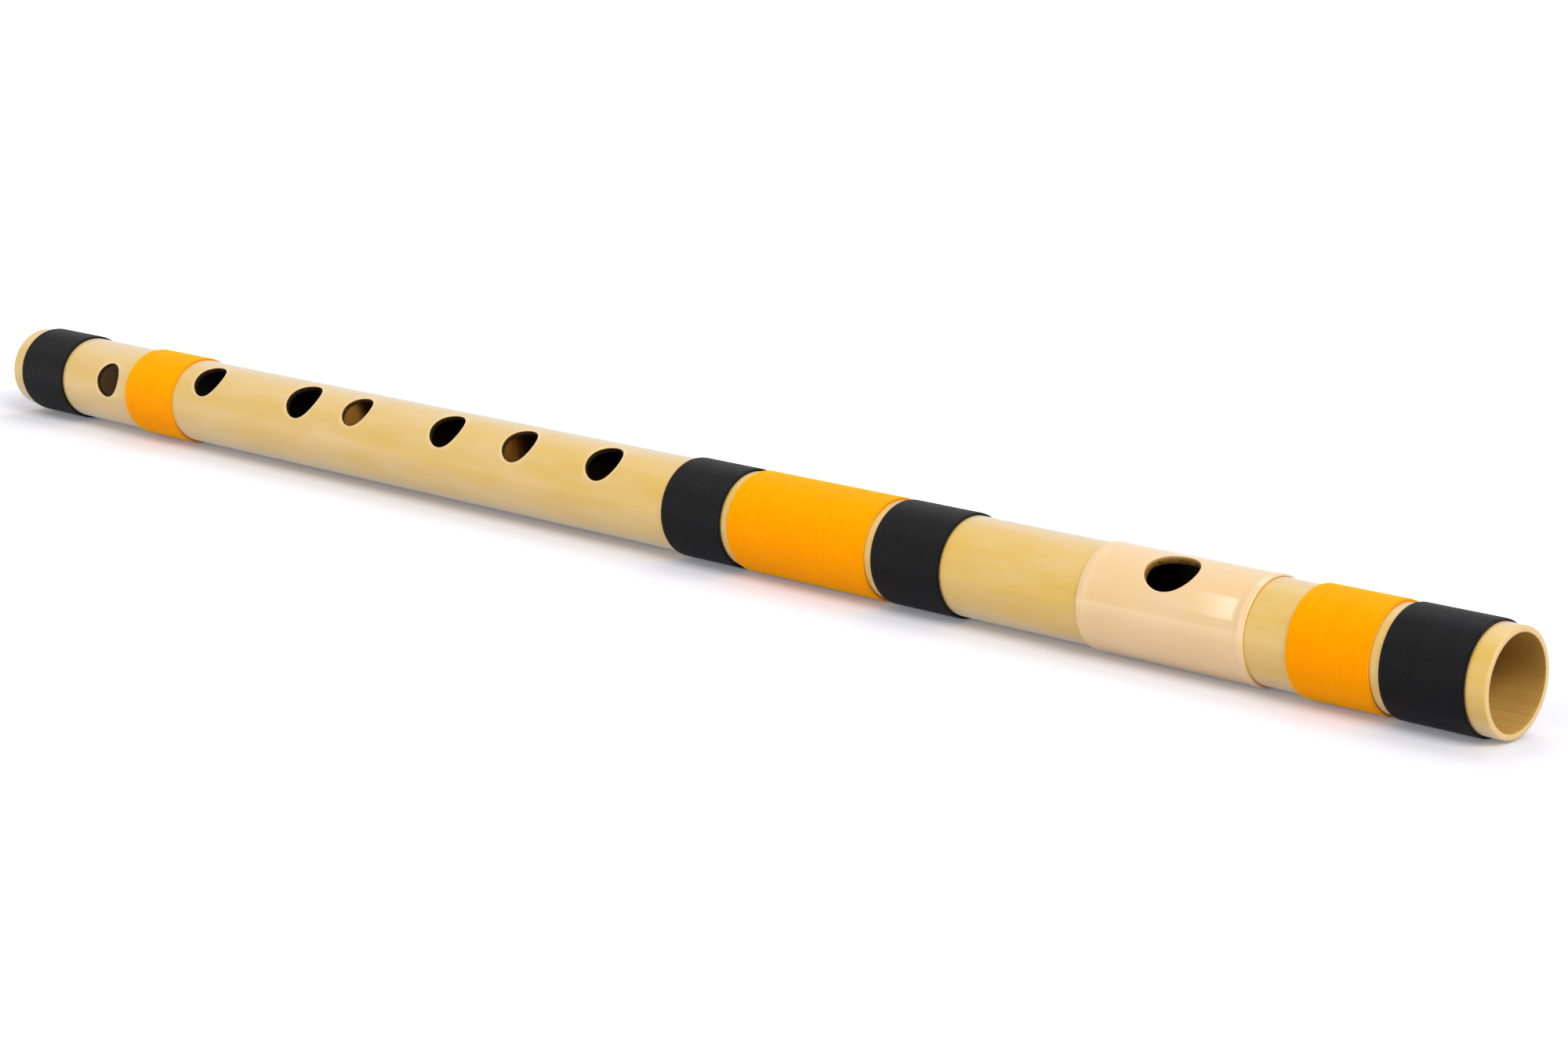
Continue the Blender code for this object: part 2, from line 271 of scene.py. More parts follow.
class Link:
    """One output of a finish's nodes. Sums written with it add the Math nodes that work them out."""

    def __init__(self, tree, source=None):
        self.tree = tree
        self.source = source

    def node(self, kind, settings, inputs, output=0):
        """Add a node: its settings first, and then the values or links of its sockets."""
        made = self.tree.nodes.new(kind)
        for name, value in settings.items():
            setattr(made, name, value)
        for name, value in inputs.items():
            socket = made.inputs[name]
            if isinstance(value, Link):
                self.tree.links.new(value.source, socket)
            elif socket.type == "RGBA":
                socket.default_value = (*value, 1)
            else:
                socket.default_value = value
        return Link(self.tree, made.outputs[output] if made.outputs else None)

    def maths(self, operation, first, second=0.0, clamp=False):
        """A Math node."""
        settings = {"operation": operation, "use_clamp": clamp}
        return self.node("ShaderNodeMath", settings, {0: first, 1: second})

    def __add__(self, other):
        return self.maths("ADD", self, other)

    def __sub__(self, other):
        return self.maths("SUBTRACT", self, other)

    def __rsub__(self, other):
        return self.maths("SUBTRACT", other, self)

    def __mul__(self, other):
        return self.maths("MULTIPLY", self, other)

    __radd__ = __add__
    __rmul__ = __mul__

    def ramp(self, low, high):
        """0 where this is at or below low, 1 where it is at or above high, and even in between."""
        return self.maths("MULTIPLY", self - low, 1 / (high - low), clamp=True)

    def blend(self, first, second):
        """The first colour where this is 0, and the second where it is 1."""
        return self.node("ShaderNodeMix", {"data_type": "RGBA"}, {0: self, 6: first, 7: second}, 2)


def new_finish(name):
    """A new material with no nodes, and a start for them."""
    material = bpy.data.materials.new(name)
    material.use_nodes = True
    material.node_tree.nodes.clear()
    return material, Link(material.node_tree)


def coat_with(nodes, inputs):
    """End a finish with its shader."""
    shader = nodes.node("ShaderNodeBsdfPrincipled", {}, inputs)
    nodes.node("ShaderNodeOutputMaterial", {}, {"Surface": shader})


def place_on_piece(nodes):
    """Where a point lies on its piece, which stays the same when the piece moves."""
    return nodes.node("ShaderNodeTexCoord", {}, {}, "Object")


def raised(nodes, height, depth, strength, sunk=False):
    """Relief of this depth that stands up where a value is high, or sinks there."""
    inputs = {"Height": height, "Strength": strength, "Distance": depth}
    return nodes.node("ShaderNodeBump", {"invert": sunk}, inputs)


def fibres(nodes, width, length, detail=3.0):
    """Fibres that run along the tube, of about this width and length, as a value from 0 to 1."""
    scale = (1 / length, 1 / width, 1 / width)
    stretched = nodes.node("ShaderNodeMapping", {}, {"Vector": place_on_piece(nodes), "Scale": scale})
    return nodes.node("ShaderNodeTexNoise", {}, {"Vector": stretched, "Scale": 1.0, "Detail": detail})


# The hot rod browns the wood in steps that run into each other, in uneven patches drawn out along the fibres
SCORCH_PATCH_WIDTH = 0.8 * MM
SCORCH_PATCH_LENGTH = 1.6 * MM
SCORCH_LEAST = 0.45
SCORCH_UNEVENNESS = 1.2
# A pale painted highlight on the outer rims of burned holes
RIM_HIGHLIGHT_SHARE = 0.4
RIM_PAINTED_HIGHLIGHT = (0.84, 0.64, 0.30)
TOASTED_GOLD = (0.42, 0.22, 0.045)
SCORCHED_BROWN = (0.10, 0.040, 0.010)
SCORCHED_BLACK = (0.010, 0.007, 0.005)
TOASTED = (0.03, 0.25)
BROWNED = (0.22, 0.50)
BLACKENED = (0.40, 0.9)


def scorching_and_highlight(nodes, wood):
    """The wood, browned and then blackened where the hot rod has been, and pale with painted highlight round
    the outer rims of burned holes.
    """
    char_and_highlight = nodes.node("ShaderNodeAttribute", {"attribute_name": "scorch"}, {}, "Fac")
    patches = fibres(nodes, SCORCH_PATCH_WIDTH, SCORCH_PATCH_LENGTH)
    uneven = char_and_highlight * (patches * SCORCH_UNEVENNESS + SCORCH_LEAST)
    # Round the outer rims of burned holes, a pale painted highlight
    rim_highlight = (0 - char_and_highlight).ramp(0.0, 1.0) * RIM_HIGHLIGHT_SHARE
    toasted = uneven.ramp(*TOASTED).blend(rim_highlight.blend(wood, RIM_PAINTED_HIGHLIGHT), TOASTED_GOLD)
    browned = uneven.ramp(*BROWNED).blend(toasted, SCORCHED_BROWN)
    return uneven.ramp(*BLACKENED).blend(browned, SCORCHED_BLACK)


# The oiled skin: wide mottling, pale fibre lines and short brown flecks
STRAW = (0.68, 0.43, 0.065)
DEEP_STRAW = (0.65, 0.39, 0.032)
PALE_STRAW = (0.675, 0.445, 0.125)
FIBRE_BROWN = (0.42, 0.22, 0.05)
MOTTLE_WIDTH, MOTTLE_LENGTH = 5.0 * MM, 24.0 * MM
LINE_WIDTH, LINE_LENGTH, LINE_SHARE = 0.42 * MM, 28.0 * MM, 0.35
FLECK_WIDTH, FLECK_LENGTH, FLECK_SHARE = 0.28 * MM, 5.0 * MM, 0.22
MOTTLE_CONTRAST = (0.34, 0.66)
LINE_CONTRAST = (0.42, 0.75)
FLECK_CONTRAST = (0.66, 0.80)
LINE_RELIEF = 0.03 * MM
bamboo_skin, nodes = new_finish("bamboo_skin")
mottle = fibres(nodes, MOTTLE_WIDTH, MOTTLE_LENGTH, detail=2.0).ramp(*MOTTLE_CONTRAST)
lines = fibres(nodes, LINE_WIDTH, LINE_LENGTH).ramp(*LINE_CONTRAST)
flecks = fibres(nodes, FLECK_WIDTH, FLECK_LENGTH, detail=1.0).ramp(*FLECK_CONTRAST)
colour = mottle.blend(DEEP_STRAW, PALE_STRAW)
colour = (lines * LINE_SHARE).blend(colour, STRAW)
colour = (flecks * FLECK_SHARE).blend(colour, FIBRE_BROWN)
coat_with(
    nodes,
    {
        "Base Color": scorching_and_highlight(nodes, colour),
        "Roughness": 0.38 + lines * 0.10,
        "Coat Weight": 0.7,
        "Coat Roughness": 0.3,
        "Sheen Weight": 0.7,
        "Sheen Roughness": 0.45,
        "Sheen Tint": (0.90, 0.95, 1.0),
        "Normal": raised(nodes, lines, LINE_RELIEF, strength=0.25),
    },
)

# The cut wood of the rims and hole walls, with the dark dots of the fibre bundles
CUT_WOOD = (0.80, 0.56, 0.28)
BUNDLE_BROWN = (0.50, 0.28, 0.09)
BUNDLE_SPACING = 0.42 * MM
BUNDLE_LENGTH = 20.0 * MM
BUNDLE_SHARE = 0.45
BUNDLE_EDGE = (0.12, 0.42)
BUNDLE_RELIEF = 0.05 * MM
bamboo_cut, nodes = new_finish("bamboo_cut")
scale = (1 / BUNDLE_LENGTH, 1 / BUNDLE_SPACING, 1 / BUNDLE_SPACING)
stretched = nodes.node("ShaderNodeMapping", {}, {"Vector": place_on_piece(nodes), "Scale": scale})
bundles = nodes.node("ShaderNodeTexVoronoi", {}, {"Vector": stretched, "Scale": 1.0}, "Distance")
near_bundle = 1 - bundles.ramp(*BUNDLE_EDGE)
colour = (near_bundle * BUNDLE_SHARE).blend(CUT_WOOD, BUNDLE_BROWN)
coat_with(
    nodes,
    {
        "Base Color": scorching_and_highlight(nodes, colour),
        "Roughness": 0.62,
        "Specular IOR Level": 0.2,
        "Normal": raised(nodes, near_bundle, BUNDLE_RELIEF, strength=0.3, sunk=True),
    },
)

# The bore: bare wood at both ends, paler along its lower side there with painted light, and darkened between
# them with painted shade, but for two patches of painted light that show through the second and fourth finger
# holes
BARE_BORE_WOOD = (0.42, 0.235, 0.048)
BORE_PAINTED_LIGHT_BELOW = (0.68, 0.40, 0.10)
BORE_PAINTED_LIGHT_PATCH = (0.95, 0.48, 0.085)
BORE_PAINTED_SHADE = (0.040, 0.022, 0.010)
BORE_FIBRE = (0.22, 0.10, 0.026)
BORE_LINE_WIDTH, BORE_LINE_LENGTH, BORE_LINE_SHARE = 0.55 * MM, 16.0 * MM, 0.22
BORE_LINE_CONTRAST = (0.35, 0.70)
BORE_RELIEF = 0.05 * MM
PAINTED_SHADE_FROM = from_head(HEAD_BORE_DIAMETER * 2)
PAINTED_SHADE_TO = foot + FOOT_BORE_DIAMETER
PAINTED_LIGHT_PATCHES = (from_head(300.8 * MM), from_head(362.2 * MM))
PAINTED_LIGHT_PATCH_LENGTH = 9.0 * MM
bamboo_bore, nodes = new_finish("bamboo_bore")
place = place_on_piece(nodes)
along = nodes.node("ShaderNodeSeparateXYZ", {}, {"Vector": place}, "X")
height = nodes.node("ShaderNodeSeparateXYZ", {}, {"Vector": place}, "Z") - AXIS.z
lines = fibres(nodes, BORE_LINE_WIDTH, BORE_LINE_LENGTH).ramp(*BORE_LINE_CONTRAST)
# Two patches of painted light in the bore, seen through the second and fourth finger holes
from_light_patches = [nodes.maths("ABSOLUTE", along - patch) for patch in PAINTED_LIGHT_PATCHES]
from_light_patch = nodes.maths("MINIMUM", *from_light_patches).ramp(PAINTED_LIGHT_PATCH_LENGTH / 2, PAINTED_LIGHT_PATCH_LENGTH)
into_painted_shade = nodes.maths("MINIMUM", PAINTED_SHADE_FROM - along, along - PAINTED_SHADE_TO).ramp(0.0, HEAD_BORE_DIAMETER)
# Painted light makes the lower side of the bore paler at its ends
end_wood_with_painted_light = height.ramp(-HEAD_BORE_DIAMETER / 2, 0.0).blend(BORE_PAINTED_LIGHT_BELOW, BARE_BORE_WOOD)
wood_with_painted_light = from_light_patch.blend(BORE_PAINTED_LIGHT_PATCH, end_wood_with_painted_light)
# Painted shade darkens the bore between its ends, but not in the patches of painted light
wood = (into_painted_shade * from_light_patch).blend(wood_with_painted_light, BORE_PAINTED_SHADE)
colour = (lines * (1 - into_painted_shade) * BORE_LINE_SHARE).blend(wood, BORE_FIBRE)
coat_with(
    nodes,
    {
        "Base Color": scorching_and_highlight(nodes, colour),
        "Roughness": 0.6,
        "Specular IOR Level": 0.25,
        "Normal": raised(nodes, lines, BORE_RELIEF, strength=0.25),
    },
)
finished("bamboo_tube_skin", tube, [bamboo_skin, bamboo_cut, bamboo_bore], "flute", "bamboo_tube")

# Cork stopper. A plug of pressed cork, turned to the bore, that closes it on the head side of the mouth hole.
# It is held by friction alone, and is pushed along the bore with a rod to tune the flute.
CORK_CLEARANCE = 0.05 * MM
CORK_ROUNDING = 0.8 * MM
CORK_ROW = 0.6 * MM
PIT_SPACING = 1.5 * MM
PIT_DEPTH = 0.16 * MM
PIT_LEVEL = 0.12
PIT_STEEPNESS = 4
cork_low, cork_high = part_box("cork_stopper")
cork_radius = bore_radius(cork_low.x) - CORK_CLEARANCE
cork_head, cork_foot = cork_high.x - CORK_ROUNDING, cork_low.x + CORK_ROUNDING
face_radius = cork_radius - CORK_ROUNDING
side_length = cork_high.x - cork_low.x - 2 * CORK_ROUNDING
face_rings = ceil(face_radius / CORK_ROW)
side_rings = ceil(side_length / CORK_ROW)
face_radii = [face_radius * step / face_rings for step in range(face_rings)]
side_places = [cork_head - side_length * step / side_rings for step in range(1, side_rings)]
cork_profile = [(cork_high.x, radius) for radius in face_radii]
cork_profile += corner(cork_head, face_radius, CORK_ROUNDING, 0, pi / 2)
cork_profile += [(x, cork_radius) for x in side_places]
cork_profile += corner(cork_foot, face_radius, CORK_ROUNDING, pi / 2, pi)
cork_profile += [(cork_low.x, radius) for radius in reversed(face_radii)]
cork = turned(cork_profile, closed=False)
bmesh.ops.remove_doubles(cork, verts=cork.verts, dist=JOIN_DISTANCE)
bmesh.ops.recalc_face_normals(cork, faces=cork.faces[:])
cork.normal_update()
for vertex in cork.verts:
    pit = max(0.0, noise.noise(vertex.co / PIT_SPACING) - PIT_LEVEL)
    vertex.co -= vertex.normal * PIT_DEPTH * min(1.0, pit * PIT_STEEPNESS)

# Grains of their own tone, pressed together with dark seams between them, and fine dark pores
CORK_TAN = (0.52, 0.31, 0.14)
CORK_PALE = (0.66, 0.43, 0.22)
CORK_DARK = (0.13, 0.055, 0.02)
GRAIN_SIZE = 1.1 * MM
PORE_SIZE = 0.5 * MM
SEAM_DARK, SEAM_SUNK, SEAM_SHARE = (0.0, 0.09), (0.0, 0.12), 0.5
PORE_CONTRAST, PORE_SHARE = (0.58, 0.72), 0.75
CORK_RELIEF = 0.08 * MM
pressed_cork, nodes = new_finish("pressed_cork")
grains = {"Vector": place_on_piece(nodes), "Scale": 1 / GRAIN_SIZE}
pore_noise = {"Vector": place_on_piece(nodes), "Scale": 1 / PORE_SIZE, "Detail": 4.0}
grain = nodes.node("ShaderNodeTexVoronoi", {}, grains, "Color")
tone = nodes.node("ShaderNodeSeparateColor", {}, {"Color": grain}, 0)
from_seam = nodes.node("ShaderNodeTexVoronoi", {"feature": "DISTANCE_TO_EDGE"}, grains)
pores = nodes.node("ShaderNodeTexNoise", {}, pore_noise).ramp(*PORE_CONTRAST)
colour = tone.blend(CORK_TAN, CORK_PALE)
colour = ((1 - from_seam.ramp(*SEAM_DARK)) * SEAM_SHARE).blend(colour, CORK_DARK)
colour = (pores * PORE_SHARE).blend(colour, CORK_DARK)
coat_with(
    nodes,
    {
        "Base Color": colour,
        "Roughness": 0.86,
        "Specular IOR Level": 0.25,
        "Normal": raised(nodes, from_seam.ramp(*SEAM_SUNK) - pores, CORK_RELIEF, strength=0.7),
    },
)
finished("cork_plug", cork, [pressed_cork], "stopper", "cork_stopper")

# Lip band. A glossy cream plastic sleeve, shrunk on round the mouth hole where the player's lip rests, with a
# low rolled bead at each end. It sits right on the bamboo, and the mouth hole is cut and filed through both.
LIP_BAND_RISE = 0.60 * MM
LIP_BAND_SEAT = 0.02 * MM
LIP_BAND_SHOULDER = 0.28 * MM
LIP_BEAD_WIDTH = 2.4 * MM
LIP_BEAD_RISE = 0.12 * MM
LIP_BEAD_STEPS = 12
MOUTH_RIM = 0.24 * MM
# The band's hole wall is browned a little in the same way, darker towards the bore
MOUTH_BROWNING = 0.10


def lip_outside(x):
    """Outer radius of the lip band, between its beads."""
    return tube_radius(x) + LIP_BAND_RISE


def lip_inside(x):
    """Inner radius of the lip band."""
    return tube_radius(x) + LIP_BAND_SEAT


def bead(start, end):
    """Points of a rolled bead, from one x to the other."""
    shares = [step / LIP_BEAD_STEPS for step in range(1, LIP_BEAD_STEPS)]
    places = [(share, start + (end - start) * share) for share in shares]
    return [(x, lip_outside(x) + LIP_BEAD_RISE * sin(pi * share) ** 2) for share, x in places]


band_low, band_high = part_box("lip_band")
band_foot, band_head = band_low.x, band_high.x
shoulder = LIP_BAND_SHOULDER
foot_shoulder, head_shoulder = band_foot + shoulder, band_head - shoulder
foot_bead_end, head_bead_end = foot_shoulder + LIP_BEAD_WIDTH, head_shoulder - LIP_BEAD_WIDTH
band_mouth = MOUTH._replace(rim=MOUTH_RIM, scorch=MOUTH_BROWNING)
middle_rows = rows(foot_bead_end + FIRST_ROW, head_bead_end - FIRST_ROW, [band_mouth])
band_rows = [foot_bead_end, *middle_rows, head_bead_end]
band_profile = corner(foot_shoulder, lip_outside(band_foot) - shoulder, shoulder, pi, pi / 2)
band_profile += bead(foot_shoulder, foot_bead_end)
band_profile += [(x, lip_outside(x)) for x in band_rows]
band_profile += bead(head_bead_end, head_shoulder)
band_profile += corner(head_shoulder, lip_outside(band_head) - shoulder, shoulder, pi / 2, 0)
band_profile += [(x, lip_inside(x)) for x in [band_head, *reversed(band_rows), band_foot]]
band = turned(band_profile)
band.verts.layers.float_vector.new("window")
band.verts.layers.float.new("scorch")
open_hole(band, band_mouth, lip_outside, lip_inside)

# The plastic has faint cloudy streaks, a slight ripple under its gloss, and a little painted highlight on its
# beads
LIP_CREAM = (0.75, 0.505, 0.230)
LIP_ROSE = (0.785, 0.53, 0.285)
LIP_STRAW = (0.74, 0.505, 0.210)
LIP_BEAD_PAINTED_HIGHLIGHT = (0.86, 0.64, 0.36)
CLOUD_SIZE = 16.0 * MM
STREAK_WIDTH, STREAK_LENGTH, STREAK_SHARE = 2.0 * MM, 12.0 * MM, 0.4
CLOUD_CONTRAST = STREAK_CONTRAST = (0.35, 0.65)
BEAD_HIGHLIGHT_SHARE = 0.1
RIPPLE_SIZE = 3.5 * MM
RIPPLE_RELIEF = 0.01 * MM
lip_plastic, nodes = new_finish("lip_plastic")
place = place_on_piece(nodes)
cloud_noise = {"Vector": place, "Scale": 1 / CLOUD_SIZE, "Detail": 2.0}
ripple_noise = {"Vector": place, "Scale": 1 / RIPPLE_SIZE, "Detail": 1.0}
cloud = nodes.node("ShaderNodeTexNoise", {}, cloud_noise).ramp(*CLOUD_CONTRAST)
streak = fibres(nodes, STREAK_WIDTH, STREAK_LENGTH, detail=2.0).ramp(*STREAK_CONTRAST)
ripple = nodes.node("ShaderNodeTexNoise", {}, ripple_noise)
along = nodes.node("ShaderNodeSeparateXYZ", {}, {"Vector": place}, "X")
past_middle = nodes.maths("MAXIMUM", foot_bead_end - along, along - head_bead_end)
bead_highlight = past_middle.ramp(LIP_BEAD_WIDTH / 3, LIP_BEAD_WIDTH * 2 / 3)
colour = cloud.blend(LIP_ROSE, LIP_CREAM)
colour = (streak * STREAK_SHARE).blend(colour, LIP_STRAW)
# A little painted highlight on the beads
colour = (bead_highlight * BEAD_HIGHLIGHT_SHARE).blend(colour, LIP_BEAD_PAINTED_HIGHLIGHT)
coat_with(
    nodes,
    {
        "Base Color": scorching_and_highlight(nodes, colour),
        "Roughness": 0.36,
        "Coat Weight": 1.0,
        "Coat Roughness": 0.075,
        "Normal": raised(nodes, ripple, RIPPLE_RELIEF, strength=0.2),
    },
)
finished("lip_sleeve", band, [lip_plastic], "flute", "lip_band")

# Thread bindings. Each is one length of nylon thread wound tightly round the tube, turn against turn, over a
# first layer of itself, and pulled under its own turns at both ends. They keep the bamboo from splitting.
THREAD_PITCH = 0.50 * MM
THREAD_WIDTH = 0.49 * MM
THREAD_HEIGHT = 0.28 * MM
THREAD_SIDES = 8
STEPS_PER_TURN = 60
BINDING_RISE = 0.64 * MM
UNDER_LAYER = 0.40 * MM
UNDER_LAYER_INSET = 0.45 * MM
SHOULDER_DROP = 0.22 * MM
SHOULDER_TURNS = 1.5
TUCK_DROP = 0.42 * MM
TUCK_TURNS = 0.12
TUCK_TURN = radians(-130)
THREAD_WANDER = 0.004 * MM
WANDERS_UP_PER_TURN = 5.0
WANDERS_ASIDE_PER_TURN = 4.0
TWISTS_PER_TURN = 64
TONES_PER_TURN = 2.3
TONE_CONTRAST = (0.3, 0.7)
PLY_RELIEF = 0.03 * MM


def thread_finish(name, first, second, fuzz, fuzz_weight, gloss, gloss_level):
    """Twisted thread: its tone wanders along its length, and its plies run slantwise round it."""
    material, nodes = new_finish(name)
    wound = nodes.node("ShaderNodeAttribute", {"attribute_name": "wound"}, {}, "Fac")
    around = nodes.node("ShaderNodeAttribute", {"attribute_name": "around"}, {}, "Fac")
    along_thread = {"W": wound, "Scale": TONES_PER_TURN, "Detail": 4.0}
    tone = nodes.node("ShaderNodeTexNoise", {"noise_dimensions": "1D"}, along_thread)
    ply = nodes.maths("SINE", (wound * TWISTS_PER_TURN + around) * (2 * pi)) * 0.5 + 0.5
    coat_with(
        nodes,
        {
            "Base Color": tone.ramp(*TONE_CONTRAST).blend(first, second),
            "Roughness": 0.42,
            "Specular IOR Level": gloss_level,
            "Specular Tint": gloss,
            "Sheen Weight": fuzz_weight,
            "Sheen Roughness": 0.5,
            "Sheen Tint": fuzz,
            "Normal": raised(nodes, ply, PLY_RELIEF, strength=0.2),
        },
    )
    return material


def wind_binding(name, node, finish):
    """Wind one binding over the length of its CAD node."""
    binding_low, binding_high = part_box(node)
    first = binding_low.x + THREAD_WIDTH / 2
    last = binding_high.x - THREAD_WIDTH / 2
    turns = round((last - first) / THREAD_PITCH)
    pitch = (last - first) / turns

    # One turn is wound round a plain rod, starting behind the tube, and is repeated along the binding. The
    # flat sides of the thread's section, not its corners, are a thread's width apart.
    rod = tube_radius(first) + BINDING_RISE - THREAD_HEIGHT / 2
    winding = bmesh.new()
    wound = winding.verts.layers.float.new("wound")
    around = winding.verts.layers.float.new("around")
    half_width = 0.5 / cos(pi / THREAD_SIDES)
    section = bmesh.ops.create_circle(winding, segments=THREAD_SIDES, radius=half_width)["verts"]
    seam_below = Matrix.Rotation(pi / 2, 3, "X") @ Matrix.Rotation(pi + pi / THREAD_SIDES, 3, "Z")
    bmesh.ops.rotate(winding, cent=(0, 0, 0), matrix=seam_below, verts=section)
    bmesh.ops.scale(winding, vec=(THREAD_WIDTH, 1, THREAD_HEIGHT), verts=section)
    bmesh.ops.translate(winding, vec=(first, 0, rod), verts=section)
    bmesh.ops.rotate(winding, cent=(0, 0, 0), matrix=Matrix.Rotation(TUCK_TURN, 3, "X"), verts=section)
    bmesh.ops.spin(
        winding,
        geom=section + winding.edges[:],
        cent=(0, 0, 0),
        axis=(1, 0, 0),
        dvec=(pitch / STEPS_PER_TURN, 0, 0),
        angle=2 * pi,
        steps=STEPS_PER_TURN,
    )
    for number, vertex in enumerate(winding.verts):
        step, side = divmod(number, THREAD_SIDES)
        vertex[wound] = step / STEPS_PER_TURN
        vertex[around] = side / THREAD_SIDES
    one_turn = winding.verts[:] + winding.edges[:] + winding.faces[:]
    for turn in range(1, turns):
        repeated = bmesh.ops.duplicate(winding, geom=one_turn)["geom"]
        for vertex in [part for part in repeated if isinstance(part, bmesh.types.BMVert)]:
            vertex.co.x += pitch * turn
            vertex[wound] += turn
    bmesh.ops.remove_doubles(winding, verts=winding.verts, dist=JOIN_DISTANCE)

    # The winding is fitted to the tube: it follows the taper, its last turns lie lower and its ends go under
    seed = first / THREAD_PITCH
    for vertex in winding.verts:
        turn = vertex[wound]
        from_end = min(turn, turns - turn)
        shift = tube_radius(first + pitch * turn) - tube_radius(first)
        shift -= SHOULDER_DROP * max(0.0, 1 - from_end / SHOULDER_TURNS) ** 2
        shift -= TUCK_DROP * max(0.0, 1 - from_end / TUCK_TURNS)
        shift += THREAD_WANDER * noise.noise((turn * WANDERS_UP_PER_TURN, seed, 0.0))
        vertex.co.yz = vertex.co.yz * (1 + shift / vertex.co.yz.length)
        vertex.co.x += THREAD_WANDER * noise.noise((turn * WANDERS_ASIDE_PER_TURN, 0.5, seed))
    ends = [edge for edge in winding.edges if edge.is_boundary]
    bmesh.ops.holes_fill(winding, edges=ends, sides=THREAD_SIDES)

    # The first layer, which the turns that show lie on
    foot_side, head_side = binding_low.x + UNDER_LAYER_INSET, binding_high.x - UNDER_LAYER_INSET
    under_layer = turned(
        [
            (foot_side, tube_radius(foot_side)),
            (foot_side, tube_radius(foot_side) + UNDER_LAYER),
            (head_side, tube_radius(head_side) + UNDER_LAYER),
            (head_side, tube_radius(head_side)),
        ]
    )
    layer_mesh = bpy.data.meshes.new("under_layer")
    under_layer.to_mesh(layer_mesh)
    under_layer.free()
    winding.from_mesh(layer_mesh)
    bpy.data.meshes.remove(layer_mesh)
    finished(name, winding, [finish], "flute", node)


black_thread = thread_finish(
    "black_thread",
    first=(0.0012, 0.0012, 0.0015),
    second=(0.0034, 0.0032, 0.0038),
    fuzz=(0.45, 0.45, 0.50),
    fuzz_weight=0.03,
    gloss=(1.0, 1.0, 1.0),
    gloss_level=0.12,
)
orange_thread = thread_finish(
    "orange_thread",
    first=(1.0, 0.32, 0.0),
    second=(1.0, 0.29, 0.0),
    fuzz=(1.0, 0.95, 0.0),
    fuzz_weight=0.75,
    gloss=(1.0, 0.80, 0.0),
    gloss_level=0.08,
)
wind_binding("head_black_thread", "head_black_binding", black_thread)
wind_binding("head_orange_thread", "head_orange_binding", orange_thread)
wind_binding("upper_black_thread", "upper_black_binding", black_thread)
wind_binding("middle_orange_thread", "middle_orange_binding", orange_thread)
wind_binding("lower_black_thread", "lower_black_binding", black_thread)
wind_binding("foot_orange_thread", "foot_orange_binding", orange_thread)
wind_binding("foot_black_thread", "foot_black_binding", black_thread)

# Table, light and camera. The flute lies on a white table top in soft white light from all round, with a big
# lamp high beyond its head end, one above and a little behind it, and a low one in front of it. Five narrow
# lamps at the left front, in an arc round the flute, glint on the lip band.
TABLE_SIZE = 8.0
TABLE_WHITE = (0.70, 0.70, 0.70)
TABLE_SEEN = (0.79, 0.79, 0.84)
TABLE_GLOW = (0.12, 0.12, 0.13)
BACKGROUND_WHITE = (1.0, 1.0, 1.0)
NOTHING = (0.0, 0.0, 0.0)
SHADOW_REACH = 0.030
ROOM_LIGHT = 0.40


def seen_directly(nodes):
    """1 for what the camera sees, straight or in a gloss, and 0 for the light that falls on things."""
    straight = nodes.node("ShaderNodeLightPath", {}, {}, "Is Camera Ray")
    glossy = Link(nodes.tree, straight.source.node.outputs["Is Glossy Ray"])
    through = Link(nodes.tree, straight.source.node.outputs["Is Transmission Ray"])
    return nodes.maths("MAXIMUM", nodes.maths("MAXIMUM", straight, glossy), through)


# Seen directly, the table glows a little near the flute, a painted light that lifts its shadow, and past the
# reach of its shadow it is plain white
table_white, nodes = new_finish("table_white")
from_middle = nodes.node("ShaderNodeVectorMath", {"operation": "ABSOLUTE"}, {0: place_on_piece(nodes)})
past_ends = {0: from_middle, 1: (TUBE_LENGTH / 2, 0.0, 0.0)}
from_flute = nodes.node("ShaderNodeVectorMath", {"operation": "SUBTRACT"}, past_ends)
outwards = nodes.node("ShaderNodeVectorMath", {"operation": "MAXIMUM"}, {0: from_flute, 1: NOTHING})
distance = nodes.node("ShaderNodeVectorMath", {"operation": "LENGTH"}, {0: outwards}, "Value")
shine = distance.ramp(SHADOW_REACH, 3 * SHADOW_REACH).blend(TABLE_GLOW, BACKGROUND_WHITE)
seen = seen_directly(nodes)
coat_with(
    nodes,
    {
        "Base Color": seen.blend(TABLE_WHITE, TABLE_SEEN),
        "Roughness": 1.0,
        "Specular IOR Level": 0.0,
        "Emission Color": seen.blend(NOTHING, shine),
        "Emission Strength": 1.0,
    },
)
table = bmesh.new()
bmesh.ops.create_grid(table, x_segments=1, y_segments=1, size=TABLE_SIZE / 2)
table_mesh = bpy.data.meshes.new("table_top")
table.to_mesh(table_mesh)
table.free()
table_mesh.materials.append(table_white)
table_top = bpy.data.objects.new("table_top", table_mesh)
bpy.context.scene.collection.objects.link(table_top)

room = bpy.data.worlds.new("room")
room.use_nodes = True
room.node_tree.nodes.clear()
bpy.context.scene.world = room
nodes = Link(room.node_tree)
strength = seen_directly(nodes) * (1 - ROOM_LIGHT) + ROOM_LIGHT
background = nodes.node("ShaderNodeBackground", {}, {"Color": BACKGROUND_WHITE, "Strength": strength})
nodes.node("ShaderNodeOutputWorld", {}, {"Surface": background})

